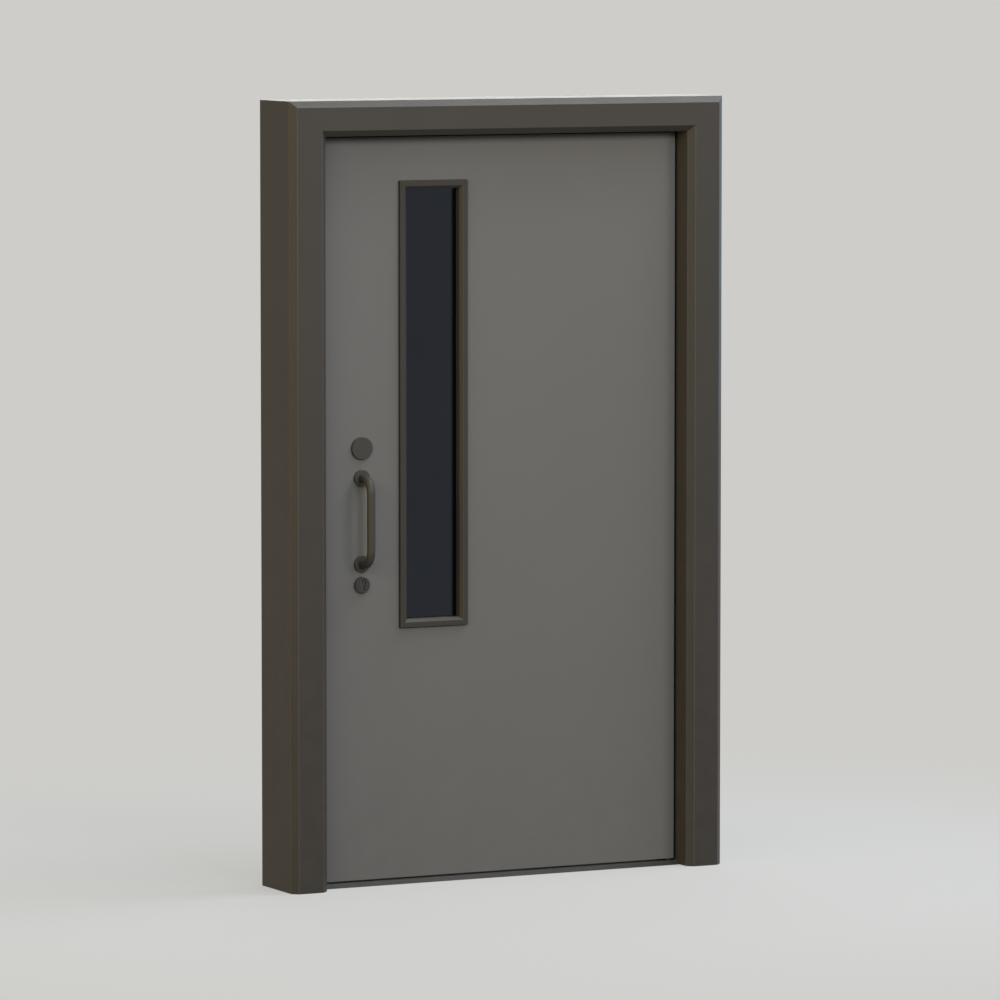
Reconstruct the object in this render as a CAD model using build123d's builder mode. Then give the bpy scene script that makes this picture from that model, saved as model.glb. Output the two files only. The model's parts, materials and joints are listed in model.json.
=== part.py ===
"""Single-leaf flush door in a deep bevelled frame, with a vision panel and round-rose pull handles.

X runs across the doorway, Y from the front of the frame to its back, and Z up. The origin is on the
underside of the threshold, at the middle of the doorway and of the frame's depth. Millimetres.
"""
import os

from build123d import *

# Frame
frame_width = 1333
frame_height = 2160
frame_depth = 204
jamb_face = 109
head_face = 97
front_bevel = 17

# Leaf, and the running gaps that it keeps from the frame
leaf_thickness = 54
leaf_recess = 75
side_gap = 6
top_gap = 5
foot_gap = 5
lipping_thickness = 8
leaf_arris = 3

# Threshold
threshold_rise = 11.5
threshold_toe = 54.5
threshold_heel = 40
threshold_bevel = 11.5

# Planted stops and edge seals
stop_gap = 7.5
stop_width = 16
stop_depth = 40
stop_round = 3
seal_width = 10
seal_depth = 3
seal_setback = 44

# Fixing holes through the jambs, hidden under the stops
fixing_radius = 5
fixing_head_radius = 9
fixing_head_depth = 8
fixing_count = 4
fixing_end_margin = 161.5

# Corner pivots
pivot_inset = 16
pivot_depth = 7
pin_radius = 4
pin_clearance = 0.08
pin_end_clearance = 1
collar_radius = 7
collar_clearance = 0.3
shoe_thickness = 8
shoe_length = 70
shoe_width = 24.8
shoe_cover = 1.2
base_thickness = 4
base_length = 60
base_width = 24
base_margin = 2

# Countersunk screw holes in the plates of the pivots and the lock
screw_radius = 2.2
screw_head_radius = 3.7
plate_screw_inset = 11
base_screw_spacing = 15

# Vision panel, placed from the leaf's lock edge, its top edge and the floor
panel_setback = 243
panel_head_margin = 121
panel_sill_height = 709.5
panel_width = 206.4
bead_face = 14
bead_bevel = 8
bead_proud = 10
bead_lap = 12
bead_fit = 0.3
glass_thickness = 15
glass_edge_clearance = 3
gasket_thickness = 2

# Pull handles, with the cover disc above and the keyhole rose below
hardware_setback = 128
pull_height = 1008
bar_radius = 11.6
bar_centers = 236
bar_projection = 62
bar_bend_radius = 42
rose_radius = 23
rose_thickness = 8
rose_round = 1.5
rose_fit = 0.2
cover_radius = 31
cover_gap = 28
escutcheon_radius = 22.5
escutcheon_gap = 12.5

# Lock: profile cylinder, case with its forend, withdrawn bolt and strike plate
cylinder_radius = 8.5
cylinder_tail = 5
cylinder_drop = 33
cylinder_fit = 0.3
cylinder_hole_fit = 1
cylinder_recess = 3
keyway_width = 2.4
keyway_height = 9
keyway_depth = 6
case_height = 165
case_width = 15
case_back = 22
case_fit = 0.4
forend_height = 235
forend_width = 20
forend_thickness = 3
bolt_height = 35
bolt_thickness = 12
bolt_length = 60
bolt_fit = 0.3
bolt_rise = 52
strike_height = 150
strike_width = 23
strike_thickness = 2
strike_hole_fit = 1
strike_pocket_depth = 22

# Retractable seal under the leaf
drop_seal_width = 12
drop_seal_height = 14
drop_seal_fit = 0.3
drop_seal_lip = 3
drop_seal_margin = 12

# Planes and edges worked out from the sizes above
frame_front = -frame_depth / 2
half_opening = frame_width / 2 - jamb_face
opening_height = frame_height - head_face
leaf_front = frame_front + leaf_recess
leaf_back = leaf_front + leaf_thickness
leaf_middle = (leaf_front + leaf_back) / 2
leaf_foot = threshold_rise + foot_gap
leaf_head = opening_height - top_gap
leaf_height = leaf_head - leaf_foot
half_leaf = half_opening - side_gap
half_core = half_leaf - lipping_thickness
threshold_front = frame_front + threshold_toe
threshold_back = leaf_back + threshold_heel
stop_front = leaf_back + stop_gap
stop_middle = stop_front + stop_depth / 2
seal_front = leaf_front + seal_setback
seal_middle = seal_front + seal_width / 2
fixing_middle_height = opening_height / 2
fixing_spacing = (opening_height - 2 * fixing_end_margin) / (fixing_count - 1)

# Pivot axis and the plates round it
pivot_x = half_leaf - pivot_inset
pivot_y = leaf_front + pivot_depth
base_end_x = half_opening - base_margin
base_front = pivot_y - collar_radius
base_screw_x = (base_end_x - base_length + pivot_x - collar_radius) / 2
shoe_start_x = half_core - shoe_length
shoe_front = leaf_front + shoe_cover

# Vision panel
panel_left = panel_setback - half_leaf
panel_right = panel_left + panel_width
panel_top = leaf_head - panel_head_margin
panel_height = panel_top - panel_sill_height
panel_center_x = (panel_left + panel_right) / 2
panel_center_z = (panel_top + panel_sill_height) / 2
sight_width = panel_width - 2 * (bead_face + bead_bevel)
sight_height = panel_height - 2 * (bead_face + bead_bevel)
cutout_width = panel_width - 2 * bead_lap
cutout_height = panel_height - 2 * bead_lap
glass_width = cutout_width - 2 * glass_edge_clearance
glass_height = cutout_height - 2 * glass_edge_clearance
glass_front = leaf_middle - glass_thickness / 2

# Hardware line
hardware_x = hardware_setback - half_leaf
rose_high = pull_height + bar_centers / 2
rose_low = pull_height - bar_centers / 2
cover_height = rose_high + rose_radius + cover_gap + cover_radius
keyhole_height = rose_low - rose_radius - escutcheon_gap - escutcheon_radius
cylinder_shift = cylinder_drop / 2 - cylinder_radius
cylinder_front = leaf_front - rose_thickness + cylinder_recess
cylinder_back = 2 * leaf_middle - cylinder_front
case_depth = hardware_setback + case_back
bolt_center_z = keyhole_height + bolt_rise

os.makedirs("parts", exist_ok=True)


def across(y):
    """Plane that faces the front at a depth, with its local axes along X and Z."""
    return Plane.XZ.offset(-y)


def level(z):
    """Horizontal plane at a height."""
    return Plane.XY.offset(z)


def mitre(x, z, toward_x, toward_z):
    """Plane through a corner, parallel to Y, whose normal leans towards the given direction."""
    return Plane(origin=(x, 0, z), x_dir=(0, 1, 0), z_dir=(toward_x, 0, toward_z))


def keep(piece, name):
    """Label a finished piece and write it to its own file."""
    piece.part.label = name
    export_step(piece.part, f"parts/{name}.step")


def keep_both_faces(piece, name):
    """Write a piece of the leaf's front face, and its mirror image on the back face."""
    keep(piece, f"{name}_front")
    with BuildPart() as twin:
        mirror(piece.part, about=across(leaf_middle))
    keep(twin, f"{name}_back")


def draw_threshold_section():
    """Draw the threshold's low bevelled section in the open sketch, on the YZ plane."""
    Polygon(
        (threshold_front, 0),
        (threshold_back, 0),
        (threshold_back - threshold_bevel, threshold_rise),
        (threshold_front + threshold_bevel, threshold_rise),
        align=None,
    )


def draw_cylinder_profile(fit, mode=Mode.ADD):
    """Draw the lock profile in the open sketch: a round top over a round-ended tail, grown by a fit."""
    with Locations((hardware_x, keyhole_height + cylinder_shift)):
        Circle(cylinder_radius + fit, mode=mode)
        Rectangle(
            2 * (cylinder_tail + fit),
            cylinder_drop - cylinder_radius - cylinder_tail,
            align=(Align.CENTER, Align.MAX),
            mode=mode,
        )
    with Locations((hardware_x, keyhole_height + cylinder_tail - cylinder_drop / 2)):
        Circle(cylinder_tail + fit, mode=mode)


def sink_screw_pair(center, along, outward, spacing):
    """Cut two countersunk screw holes into the open part, spaced along a direction on its face."""
    with Locations(Plane(origin=center, x_dir=along, z_dir=outward)):
        with GridLocations(spacing, 0, 2, 1):
            CounterSinkHole(screw_radius, screw_head_radius)


def rose(radius, height, bore=0.0):
    """Round rose on the leaf's front face, softened at its rim, with an optional bore."""
    with BuildPart() as plate:
        with BuildSketch(across(leaf_front)):
            with Locations((hardware_x, height)):
                Circle(radius)
        extrude(amount=rose_thickness)
        fillet(plate.faces().sort_by(Axis.Y)[0].edges(), radius=rose_round)
        if bore:
            with BuildSketch(across(leaf_front)):
                with Locations((hardware_x, height)):
                    Circle(bore)
            extrude(amount=rose_thickness, mode=Mode.SUBTRACT)
    return plate


# Surround: one bevelled portal, later cut into two jambs and a head along the mitre lines
with BuildPart() as surround:
    with BuildSketch(across(frame_front)):
        Rectangle(frame_width, frame_height, align=(Align.CENTER, Align.MIN))
        Rectangle(2 * half_opening, opening_height, align=(Align.CENTER, Align.MIN), mode=Mode.SUBTRACT)
    extrude(amount=-frame_depth)
    front_edges = surround.faces().sort_by(Axis.Y)[0].edges()
    chamfer(front_edges.filter_by(lambda edge: edge.center().Z > front_bevel), length=front_bevel)
    # Groove for the edge seals
    with BuildSketch(across(seal_front)):
        Rectangle(
            2 * (half_opening + seal_depth), opening_height + seal_depth, align=(Align.CENTER, Align.MIN)
        )
    extrude(amount=-seal_width, mode=Mode.SUBTRACT)
    # Recess for the upper pivot base
    with BuildSketch(level(opening_height)):
        with Locations((base_end_x, base_front)):
            Rectangle(base_length, base_width, align=(Align.MAX, Align.MIN))
    extrude(amount=base_thickness, mode=Mode.SUBTRACT)
    # Recess for the strike plate, and the pocket that the bolt is thrown into
    with BuildSketch(Plane.YZ.offset(-half_opening)):
        with Locations((leaf_middle, bolt_center_z)):
            Rectangle(strike_width, strike_height)
    extrude(amount=-strike_thickness, mode=Mode.SUBTRACT)
    with BuildSketch(Plane.YZ.offset(-half_opening)):
        with Locations((leaf_middle, bolt_center_z)):
            Rectangle(bolt_thickness + 2 * strike_hole_fit, bolt_height + 2 * strike_hole_fit)
    extrude(amount=-strike_pocket_depth, mode=Mode.SUBTRACT)

left_mitre = mitre(-half_opening, opening_height, head_face, jamb_face)
right_mitre = mitre(half_opening, opening_height, -head_face, jamb_face)

with BuildPart() as head:
    add(surround.part)
    split(bisect_by=left_mitre, keep=Keep.TOP)
    split(bisect_by=right_mitre, keep=Keep.TOP)
keep(head, "head")

for side, name, cut in ((-1, "jamb_left", left_mitre), (1, "jamb_right", right_mitre)):
    reveal = Plane(
        origin=(side * half_opening, stop_middle, fixing_middle_height), x_dir=(0, 1, 0), z_dir=(-side, 0, 0)
    )
    with BuildPart() as jamb:
        add(surround.part)
        split(bisect_by=cut, keep=Keep.BOTTOM)
        split(bisect_by=Plane.YZ, keep=Keep.TOP if side > 0 else Keep.BOTTOM)
        with BuildSketch(reveal):
            with GridLocations(0, fixing_spacing, 1, fixing_count):
                Circle(fixing_radius)
        extrude(amount=-jamb_face, mode=Mode.SUBTRACT)
        with BuildSketch(reveal):
            with GridLocations(0, fixing_spacing, 1, fixing_count):
                Circle(fixing_head_radius)
        extrude(amount=-fixing_head_depth, mode=Mode.SUBTRACT)
    keep(jamb, name)

# Threshold between the jambs, bevelled at both feet
with BuildPart() as threshold:
    with BuildSketch(Plane.YZ):
        draw_threshold_section()
    extrude(amount=half_opening, both=True)
    with BuildSketch(level(threshold_rise)):
        with Locations((base_end_x, base_front)):
            Rectangle(base_length, base_width, align=(Align.MAX, Align.MIN))
    extrude(amount=-base_thickness, mode=Mode.SUBTRACT)
keep(threshold, "threshold")

# Planted stops behind the leaf, the upright ones scribed over the threshold
for side, name in ((-1, "stop_left"), (1, "stop_right")):
    with BuildPart() as stop:
        with BuildSketch(level(0)):
            with Locations((side * (half_opening - stop_width / 2), stop_middle)):
                Rectangle(stop_width, stop_depth)
        extrude(amount=opening_height)
        arrises = stop.edges().filter_by(Axis.Z).sort_by(Axis.X)
        fillet(arrises[:2] if side > 0 else arrises[-2:], radius=stop_round)
        with BuildSketch(Plane.YZ):
            draw_threshold_section()
        extrude(amount=half_opening, both=True, mode=Mode.SUBTRACT)
    keep(stop, name)

with BuildPart() as stop_head:
    with BuildSketch(Plane.YZ):
        with Locations((stop_middle, opening_height - stop_width / 2)):
            Rectangle(stop_depth, stop_width)
    extrude(amount=half_opening - stop_width, both=True)
    fillet(stop_head.edges().filter_by(Axis.X).sort_by(Axis.Z)[:2], radius=stop_round)
keep(stop_head, "stop_head")

# Edge seals, flush in their groove
for side, name in ((-1, "seal_left"), (1, "seal_right")):
    with BuildPart() as seal:
        with BuildSketch(level(0)):
            with Locations((side * (half_opening + seal_depth / 2), seal_middle)):
                Rectangle(seal_depth, seal_width)
        extrude(amount=opening_height)
    keep(seal, name)

with BuildPart() as seal_head:
    with BuildSketch(Plane.YZ):
        with Locations((seal_middle, opening_height + seal_depth / 2)):
            Rectangle(seal_width, seal_depth)
    extrude(amount=half_opening + seal_depth, both=True)
keep(seal_head, "seal_head")

# Strike plate on the lock jamb
with BuildPart() as strike_plate:
    with BuildSketch(Plane.YZ.offset(-half_opening)):
        with Locations((leaf_middle, bolt_center_z)):
            Rectangle(strike_width, strike_height)
            Rectangle(
                bolt_thickness + 2 * strike_hole_fit,
                bolt_height + 2 * strike_hole_fit,
                mode=Mode.SUBTRACT,
            )
    extrude(amount=-strike_thickness)
    strike_center = (-half_opening, leaf_middle, bolt_center_z)
    sink_screw_pair(strike_center, (0, 0, 1), (1, 0, 0), strike_height - 2 * plate_screw_inset)
keep(strike_plate, "strike_plate")

# Pivot bases: an inlaid plate, a collar that carries the leaf, and its pin
pivot_seats = (
    ("bottom", threshold_rise, leaf_foot, 1, foot_gap),
    ("top", opening_height, leaf_head, -1, top_gap),
)
for place, seat_z, leaf_z, up, gap in pivot_seats:
    with BuildPart() as base:
        with BuildSketch(level(seat_z)):
            with Locations((base_end_x, base_front)):
                Rectangle(base_length, base_width, align=(Align.MAX, Align.MIN))
        extrude(amount=-up * base_thickness)
        with BuildSketch(level(seat_z)):
            with Locations((pivot_x, pivot_y)):
                Circle(collar_radius)
        extrude(amount=up * (gap - collar_clearance))
        with BuildSketch(level(seat_z)):
            with Locations((pivot_x, pivot_y)):
                Circle(pin_radius)
        extrude(amount=up * (gap + shoe_thickness - pin_end_clearance))
        plate_center = (base_screw_x, base_front + base_width / 2, seat_z)
        sink_screw_pair(plate_center, (1, 0, 0), (0, 0, up), base_screw_spacing)
    keep(base, f"pivot_base_{place}")

    # Shoe: a bored plate mortised into the leaf's edge, round the pin
    with BuildPart() as shoe:
        with BuildSketch(level(leaf_z)):
            with Locations((shoe_start_x, shoe_front)):
                Rectangle(shoe_length, shoe_width, align=(Align.MIN, Align.MIN))
            with Locations((pivot_x, pivot_y)):
                Circle(pin_radius + pin_clearance, mode=Mode.SUBTRACT)
        extrude(amount=up * shoe_thickness)
    keep(shoe, f"pivot_shoe_{place}")

# Leaf core, with its cut-out for the glass, its mortises and its groove
groove_start = drop_seal_margin - half_core
groove_length = shoe_start_x - drop_seal_margin - groove_start
with BuildPart() as door_leaf:
    with BuildSketch(across(leaf_front)):
        with Locations((0, leaf_foot)):
            Rectangle(2 * half_core, leaf_height, align=(Align.CENTER, Align.MIN))
        with Locations((panel_center_x, panel_center_z)):
            Rectangle(cutout_width, cutout_height, mode=Mode.SUBTRACT)
        draw_cylinder_profile(cylinder_hole_fit, mode=Mode.SUBTRACT)
    extrude(amount=-leaf_thickness)
    with BuildSketch(Plane.YZ.offset(-half_leaf)):
        with Locations((leaf_middle, keyhole_height)):
            Rectangle(case_width + 2 * case_fit, case_height + 2 * case_fit)
    extrude(amount=case_depth + case_fit, mode=Mode.SUBTRACT)
    for place, seat_z, leaf_z, up, gap in pivot_seats:
        with BuildSketch(level(leaf_z)):
            with Locations((shoe_start_x, shoe_front)):
                Rectangle(shoe_length, shoe_width, align=(Align.MIN, Align.MIN))
        extrude(amount=up * shoe_thickness, mode=Mode.SUBTRACT)
    with BuildSketch(level(leaf_foot)):
        with Locations((groove_start, leaf_middle)):
            Rectangle(groove_length, drop_seal_width, align=(Align.MIN, Align.CENTER))
    extrude(amount=drop_seal_height, mode=Mode.SUBTRACT)
keep(door_leaf, "door_leaf")

# Edge lippings, with the lock's recesses in the one on the lock side
for side, name in ((-1, "lipping_lock"), (1, "lipping_hinge")):
    with BuildPart() as lipping:
        with BuildSketch(level(leaf_foot)):
            with Locations((side * (half_leaf - lipping_thickness / 2), leaf_middle)):
                Rectangle(lipping_thickness, leaf_thickness)
        extrude(amount=leaf_height)
        arrises = lipping.edges().filter_by(Axis.Z).sort_by(Axis.X)
        chamfer(arrises[-2:] if side > 0 else arrises[:2], length=leaf_arris)
        if side < 0:
            with BuildSketch(Plane.YZ.offset(-half_leaf)):
                with Locations((leaf_middle, keyhole_height)):
                    Rectangle(case_width + 2 * case_fit, case_height + 2 * case_fit)
            extrude(amount=lipping_thickness, mode=Mode.SUBTRACT)
            with BuildSketch(Plane.YZ.offset(-half_leaf)):
                with Locations((leaf_middle, keyhole_height)):
                    SlotOverall(forend_height, forend_width, rotation=90)
            extrude(amount=forend_thickness, mode=Mode.SUBTRACT)
    keep(lipping, name)

# Retractable seal in the groove under the leaf, with a tapered lip
half_seal = drop_seal_width / 2 - drop_seal_fit
with BuildPart() as drop_seal:
    with BuildSketch(Plane.YZ.offset(groove_start + drop_seal_fit)):
        with BuildLine():
            Polyline(
                (leaf_middle - half_seal, leaf_foot + drop_seal_height),
                (leaf_middle + half_seal, leaf_foot + drop_seal_height),
                (leaf_middle + half_seal, leaf_foot + drop_seal_lip),
                (leaf_middle + half_seal / 2, leaf_foot),
                (leaf_middle - half_seal / 2, leaf_foot),
                (leaf_middle - half_seal, leaf_foot + drop_seal_lip),
                close=True,
            )
        make_face()
    extrude(amount=groove_length - 2 * drop_seal_fit)
keep(drop_seal, "drop_seal")

# Glazing beads: a bevelled ring with a leg that reaches in to the glass, cut into four mitred lengths
bead_leg = glass_front - gasket_thickness - leaf_front
with BuildPart() as bead_ring:
    with BuildSketch(across(leaf_front - bead_proud)):
        with Locations((panel_center_x, panel_center_z)):
            Rectangle(panel_width, panel_height)
    extrude(amount=-bead_proud)
    with BuildSketch(across(leaf_front)):
        with Locations((panel_center_x, panel_center_z)):
            Rectangle(cutout_width - 2 * bead_fit, cutout_height - 2 * bead_fit)
    extrude(amount=-bead_leg)
    with BuildSketch(across(leaf_front - bead_proud)):
        with Locations((panel_center_x, panel_center_z)):
            Rectangle(sight_width, sight_height)
    extrude(amount=-bead_proud - bead_leg, mode=Mode.SUBTRACT)
    bead_face_edges = bead_ring.faces().sort_by(Axis.Y)[0].inner_wires()[0].edges()
    chamfer(bead_face_edges, length=bead_bevel)

low_left = mitre(panel_left, panel_sill_height, -1, 1)
low_right = mitre(panel_right, panel_sill_height, 1, 1)
high_left = mitre(panel_left, panel_top, 1, 1)
high_right = mitre(panel_right, panel_top, -1, 1)
panel_middle = Plane.YZ.offset(panel_center_x)
bead_cuts = {
    "bottom": ((low_left, Keep.BOTTOM), (low_right, Keep.BOTTOM)),
    "top": ((high_left, Keep.TOP), (high_right, Keep.TOP)),
    "left": ((low_left, Keep.TOP), (high_left, Keep.BOTTOM), (panel_middle, Keep.BOTTOM)),
    "right": ((low_right, Keep.TOP), (high_right, Keep.BOTTOM), (panel_middle, Keep.TOP)),
}
for place, cuts in bead_cuts.items():
    with BuildPart() as bead:
        add(bead_ring.part)
        for plane, kept_side in cuts:
            split(bisect_by=plane, keep=kept_side)
    keep_both_faces(bead, f"bead_{place}")

# Glass, held between two gaskets at the middle of the leaf
with BuildPart() as glass_pane:
    with BuildSketch(across(glass_front)):
        with Locations((panel_center_x, panel_center_z)):
            Rectangle(glass_width, glass_height)
    extrude(amount=-glass_thickness)
keep(glass_pane, "glass_pane")

with BuildPart() as gasket:
    with BuildSketch(across(glass_front)):
        with Locations((panel_center_x, panel_center_z)):
            Rectangle(glass_width, glass_height)
            Rectangle(sight_width, sight_height, mode=Mode.SUBTRACT)
    extrude(amount=gasket_thickness)
keep_both_faces(gasket, "gasket")

# Pull handles: a bent bar between two round roses
with BuildPart() as pull_bar:
    with BuildLine():
        bar_path = FilletPolyline(
            (hardware_x, leaf_front, rose_low),
            (hardware_x, leaf_front - bar_projection, rose_low),
            (hardware_x, leaf_front - bar_projection, rose_high),
            (hardware_x, leaf_front, rose_high),
            radius=bar_bend_radius,
        )
    with BuildSketch(Plane(origin=bar_path @ 0, z_dir=bar_path % 0)):
        Circle(bar_radius)
    sweep(path=bar_path)
keep_both_faces(pull_bar, "pull_bar")
keep_both_faces(rose(rose_radius, rose_high, bar_radius + rose_fit), "rose_upper")
keep_both_faces(rose(rose_radius, rose_low, bar_radius + rose_fit), "rose_lower")
keep_both_faces(rose(cover_radius, cover_height), "cover_disc")

# Keyhole rose, and the profile cylinder that runs through the leaf behind it
with BuildPart() as escutcheon:
    add(rose(escutcheon_radius, keyhole_height).part)
    with BuildSketch(across(leaf_front)):
        draw_cylinder_profile(cylinder_fit)
    extrude(amount=rose_thickness, mode=Mode.SUBTRACT)
keep_both_faces(escutcheon, "escutcheon")

with BuildPart() as lock_cylinder:
    with BuildSketch(across(cylinder_front)):
        draw_cylinder_profile(0)
    extrude(amount=cylinder_front - cylinder_back)
    for mouth, inward in ((cylinder_front, -1), (cylinder_back, 1)):
        with BuildSketch(across(mouth)):
            with Locations((hardware_x, keyhole_height + cylinder_shift)):
                Rectangle(keyway_width, keyway_height)
        extrude(amount=inward * keyway_depth, mode=Mode.SUBTRACT)
keep(lock_cylinder, "lock_cylinder")

with BuildPart() as lock_case:
    with BuildSketch(Plane.YZ.offset(-half_leaf)):
        with Locations((leaf_middle, keyhole_height)):
            SlotOverall(forend_height, forend_width, rotation=90)
    extrude(amount=forend_thickness)
    with BuildSketch(Plane.YZ.offset(-half_leaf)):
        with Locations((leaf_middle, keyhole_height)):
            Rectangle(case_width, case_height)
    extrude(amount=case_depth)
    with BuildSketch(across(leaf_front)):
        draw_cylinder_profile(cylinder_fit)
    extrude(amount=-leaf_thickness, mode=Mode.SUBTRACT)
    with BuildSketch(Plane.YZ.offset(-half_leaf)):
        with Locations((leaf_middle, bolt_center_z)):
            Rectangle(bolt_thickness + 2 * bolt_fit, bolt_height + 2 * bolt_fit)
    extrude(amount=bolt_length + bolt_fit, mode=Mode.SUBTRACT)
    forend_center = (-half_leaf, leaf_middle, keyhole_height)
    sink_screw_pair(forend_center, (0, 0, 1), (-1, 0, 0), forend_height - 2 * plate_screw_inset)
keep(lock_case, "lock_case")

with BuildPart() as lock_bolt:
    with BuildSketch(Plane.YZ.offset(-half_leaf)):
        with Locations((leaf_middle, bolt_center_z)):
            Rectangle(bolt_thickness, bolt_height)
    extrude(amount=bolt_length)
keep(lock_bolt, "lock_bolt")
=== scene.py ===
"""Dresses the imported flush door: eased arrises, satin paints, pull bars, screws, seals and tinted glass.

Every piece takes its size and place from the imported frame, in metres, with the door's front towards -Y.
"""

import json
import logging
import math
from dataclasses import dataclass, field
from enum import Enum
from typing import Protocol

import bmesh
import bpy
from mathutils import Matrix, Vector


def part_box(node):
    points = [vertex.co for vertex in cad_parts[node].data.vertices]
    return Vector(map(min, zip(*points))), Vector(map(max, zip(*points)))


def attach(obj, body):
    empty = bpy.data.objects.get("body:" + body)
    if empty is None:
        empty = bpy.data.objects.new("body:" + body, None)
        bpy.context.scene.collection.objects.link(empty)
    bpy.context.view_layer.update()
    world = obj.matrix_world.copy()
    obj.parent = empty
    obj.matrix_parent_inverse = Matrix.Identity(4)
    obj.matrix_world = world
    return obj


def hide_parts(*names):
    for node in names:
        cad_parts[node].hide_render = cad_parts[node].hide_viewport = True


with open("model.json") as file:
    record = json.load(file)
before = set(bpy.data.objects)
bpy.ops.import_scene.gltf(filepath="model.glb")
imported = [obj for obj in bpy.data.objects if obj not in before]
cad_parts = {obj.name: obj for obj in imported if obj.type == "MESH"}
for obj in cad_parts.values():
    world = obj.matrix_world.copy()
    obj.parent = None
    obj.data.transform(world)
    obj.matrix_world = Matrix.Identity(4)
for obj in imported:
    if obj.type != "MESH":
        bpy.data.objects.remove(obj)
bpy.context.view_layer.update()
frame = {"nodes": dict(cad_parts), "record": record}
MM = 0.001
MITRE_LEAN = 0.4
MITRE_SLACK = 0.1
log = logging.getLogger("door")

Colour = tuple[float, float, float, float]
Socket = bpy.types.NodeSocket
Inputs = dict[str | int, object]


class Body(Enum):
    """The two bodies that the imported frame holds."""

    FRAME = "frame"
    LEAF = "leaf"


class Slot(Enum):
    """The finishes that the record names."""

    FRAME_PAINT = "frame_paint"
    LEAF_PAINT = "leaf_paint"
    BEAD_PAINT = "bead_paint"
    HARDWARE = "hardware"
    THRESHOLD = "threshold_metal"
    EDGE_SEAL = "edge_seal"
    STEEL = "steel"
    CYLINDER = "cylinder_metal"
    GLASS = "glass"
    RUBBER = "rubber"


class Face(Enum):
    """The side of the leaf that a pair's piece is on; the value is the sign of its outward Y."""

    FRONT = -1
    BACK = 1

    def named(self, stem: str) -> str:
        """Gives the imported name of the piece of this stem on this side."""
        return f"{stem}_{self.name.lower()}"


def tone(red: int, green: int, blue: int) -> Colour:
    """Turns a display colour into the linear colour that shaders take.

    Args:
        red: Display red, 0 to 255.
        green: Display green, 0 to 255.
        blue: Display blue, 0 to 255.

    Returns:
        The linear colour with full alpha.
    """
    linear = []
    for value in (red, green, blue):
        share = value / 255
        linear.append(share / 12.92 if share <= 0.04045 else ((share + 0.055) / 1.055) ** 2.4)
    return (linear[0], linear[1], linear[2], 1.0)


def scaled(colour: Colour, share: float) -> Colour:
    """Returns a colour made darker or lighter by a share."""
    return (colour[0] * share, colour[1] * share, colour[2] * share, 1.0)


def heading(bearing: float, rise: float) -> Vector:
    """Gives the direction away from the door at a bearing and a rise.

    Args:
        bearing: Degrees from straight in front of the door, more to the right.
        rise: Degrees above level.

    Returns:
        The unit vector away from the door.
    """
    turn = math.radians(bearing)
    lift = math.radians(rise)
    return Vector((math.sin(turn) * math.cos(lift), -math.cos(turn) * math.cos(lift), math.sin(lift)))


def linked(name: str, data: bpy.types.ID) -> bpy.types.Object:
    """Makes an object of this data, links it to the scene and returns it."""
    made = bpy.data.objects.new(name, data)
    bpy.context.scene.collection.objects.link(made)
    return made


class Graph:
    """Adds nodes to a shader or geometry tree and joins them as they are added."""

    def __init__(self, tree: bpy.types.NodeTree) -> None:
        """Starts on an emptied tree.

        Args:
            tree: The tree to draw in.
        """
        tree.nodes.clear()
        self.tree = tree

    def add(self, kind: str, inputs: Inputs | None = None, **settings: object) -> bpy.types.Node:
        """Adds one node.

        Args:
            kind: The node's type name.
            inputs: A value or an output socket for each named or numbered input.
            **settings: Properties of the node.

        Returns:
            The new node.
        """
        node = self.tree.nodes.new(kind)
        for key, value in settings.items():
            setattr(node, key, value)
        for key, value in (inputs or {}).items():
            if isinstance(value, Socket):
                self.tree.links.new(value, node.inputs[key])
            else:
                node.inputs[key].default_value = value
        return node

    def math(self, operation: str, first: Socket | float, second: Socket | float = 0.0) -> Socket:
        """Adds a Math node and returns its result."""
        return self.add("ShaderNodeMath", {0: first, 1: second}, operation=operation).outputs[0]

    def mix(self, share: Socket | float, first: Socket | Colour, second: Socket | Colour) -> Socket:
        """Adds a colour Mix node and returns its result."""
        return self.add("ShaderNodeMix", {0: share, 6: first, 7: second}, data_type="RGBA").outputs[2]

    def span(self, value: Socket, low: float, high: float,
             to_low: float = 0.0, to_high: float = 1.0) -> Socket:
        """Maps a range smoothly onto another.

        Args:
            value: The socket to map.
            low: Where the range starts.
            high: Where the range ends.
            to_low: The result at the start.
            to_high: The result at the end.

        Returns:
            The mapped value, held inside the new range.
        """
        inputs = {"Value": value, "From Min": low, "From Max": high, "To Min": to_low, "To Max": to_high}
        return self.add("ShaderNodeMapRange", inputs, interpolation_type="SMOOTHSTEP").outputs[0]

    def noise(self, place: Socket, size: float, detail: float = 2.0) -> Socket:
        """Adds a noise whose cells are about the given size in metres.

        Args:
            place: The coordinates to read.
            size: The size of one cell.
            detail: How many finer layers it carries.

        Returns:
            The noise value, about 0.5 on average.
        """
        inputs = {"Vector": place, "Scale": 1 / size, "Detail": detail}
        return self.add("ShaderNodeTexNoise", inputs).outputs["Fac"]

    def place(self) -> Socket:
        """Returns the object coordinates, which are the frame's own metres."""
        return self.add("ShaderNodeTexCoord").outputs["Object"]

    def stretched(self, place: Socket, along: tuple[float, float, float]) -> Socket:
        """Scales coordinates, so that a texture is drawn out where the scale is small."""
        return self.add("ShaderNodeMapping", {"Vector": place, "Scale": along}).outputs[0]

    def show(self, shader: Socket) -> None:
        """Joins a shader to the material's output."""
        self.add("ShaderNodeOutputMaterial", {"Surface": shader})


class Finish(Protocol):
    """Anything that can give a Blender material of its own name."""

    name: str

    def paint(self, graph: Graph) -> Socket:
        """Draws the finish and returns its shader."""


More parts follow.
